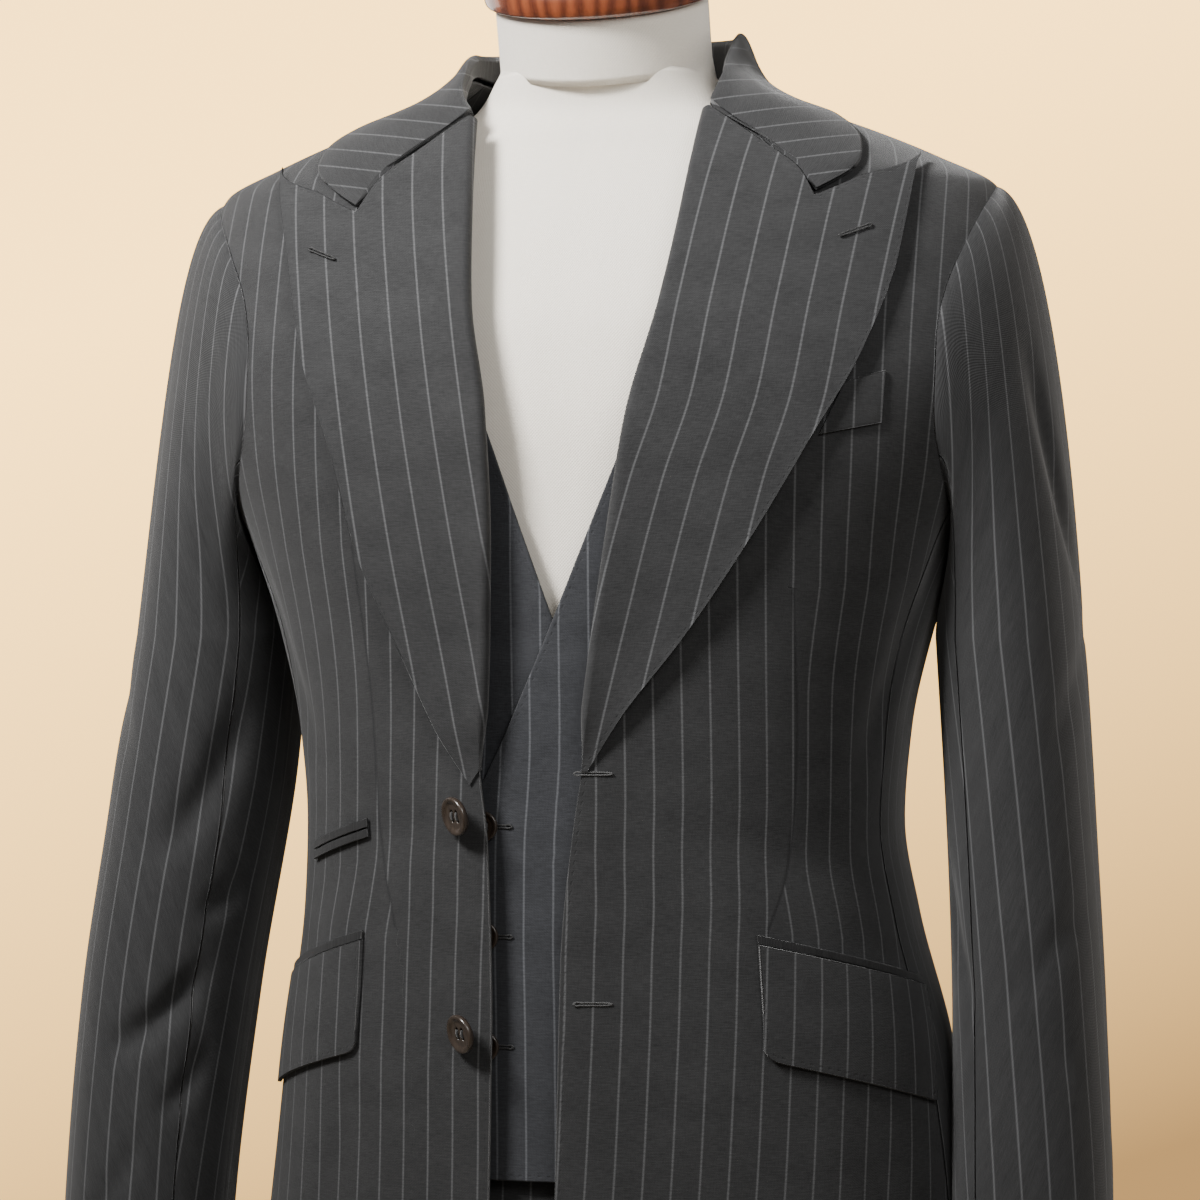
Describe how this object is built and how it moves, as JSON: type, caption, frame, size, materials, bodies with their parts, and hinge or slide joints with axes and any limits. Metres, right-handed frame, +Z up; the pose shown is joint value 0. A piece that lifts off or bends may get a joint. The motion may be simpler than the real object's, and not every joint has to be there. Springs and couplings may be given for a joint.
{
  "type": "three-piece suit on a limbless dress form",
  "caption": "Pinstriped jacket worn open over a double-breasted waistcoat and trousers, on a linen dress form with a stand.",
  "frame": {"origin": "on the floor, at the middle of the object's box, under the stand's base", "axes": "+Z up, the wearer's front towards -Y, the wearer's left towards +X"},
  "size_m": [0.587, 0.36, 1.6066],
  "materials": {
    "jacket_worsted": "charcoal worsted wool with a fine light grey pinstripe",
    "waistcoat_worsted": "the same worsted, pinstriped",
    "trouser_worsted": "the same worsted, pinstriped",
    "waistcoat_back_cloth": "dark satin lining cloth",
    "dark_horn": "dark horn, semi-gloss",
    "linen": "natural linen stretched over the padded form",
    "varnished_wood": "reddish-brown varnished beech",
    "painted_steel": "satin black paint"
  },
  "bodies": {
    "root": {"breast_welt": "jacket_worsted", "cuff_button_left_1": "dark_horn", "cuff_button_left_2": "dark_horn", "cuff_button_left_3": "dark_horn", "cuff_button_left_4": "dark_horn", "cuff_button_right_1": "dark_horn", "cuff_button_right_2": "dark_horn", "cuff_button_right_3": "dark_horn", "cuff_button_right_4": "dark_horn", "form_neck_cap": "varnished_wood", "form_torso": "linen", "hip_flap_left": "jacket_worsted", "hip_flap_right": "jacket_worsted", "hip_jet_left": "jacket_worsted", "hip_jet_right": "jacket_worsted", "jacket_back_left": "jacket_worsted", "jacket_back_right": "jacket_worsted", "jacket_button_1": "dark_horn", "jacket_button_2": "dark_horn", "jacket_collar": "jacket_worsted", "jacket_front_left": "jacket_worsted", "jacket_front_right": "jacket_worsted", "jacket_lapel_left": "jacket_worsted", "jacket_lapel_right": "jacket_worsted", "jacket_side_left": "jacket_worsted", "jacket_side_right": "jacket_worsted", "stand_base": "painted_steel", "stand_foot": "painted_steel", "stand_pole": "painted_steel", "ticket_jet_lower": "jacket_worsted", "ticket_jet_upper": "jacket_worsted", "top_sleeve_left": "jacket_worsted", "top_sleeve_right": "jacket_worsted", "torso_socket": "painted_steel", "trouser_back_left": "trouser_worsted", "trouser_back_right": "trouser_worsted", "trouser_front_left": "trouser_worsted", "trouser_front_right": "trouser_worsted", "trousers_waistband": "trouser_worsted", "under_sleeve_left": "jacket_worsted", "under_sleeve_right": "jacket_worsted", "waistcoat_back_left": "waistcoat_back_cloth", "waistcoat_back_right": "waistcoat_back_cloth", "waistcoat_button_1": "dark_horn", "waistcoat_button_2": "dark_horn", "waistcoat_button_3": "dark_horn", "waistcoat_button_4": "dark_horn", "waistcoat_button_5": "dark_horn", "waistcoat_button_6": "dark_horn", "waistcoat_front_left": "waistcoat_worsted", "waistcoat_front_right": "waistcoat_worsted"}
  },
  "joints": []
}
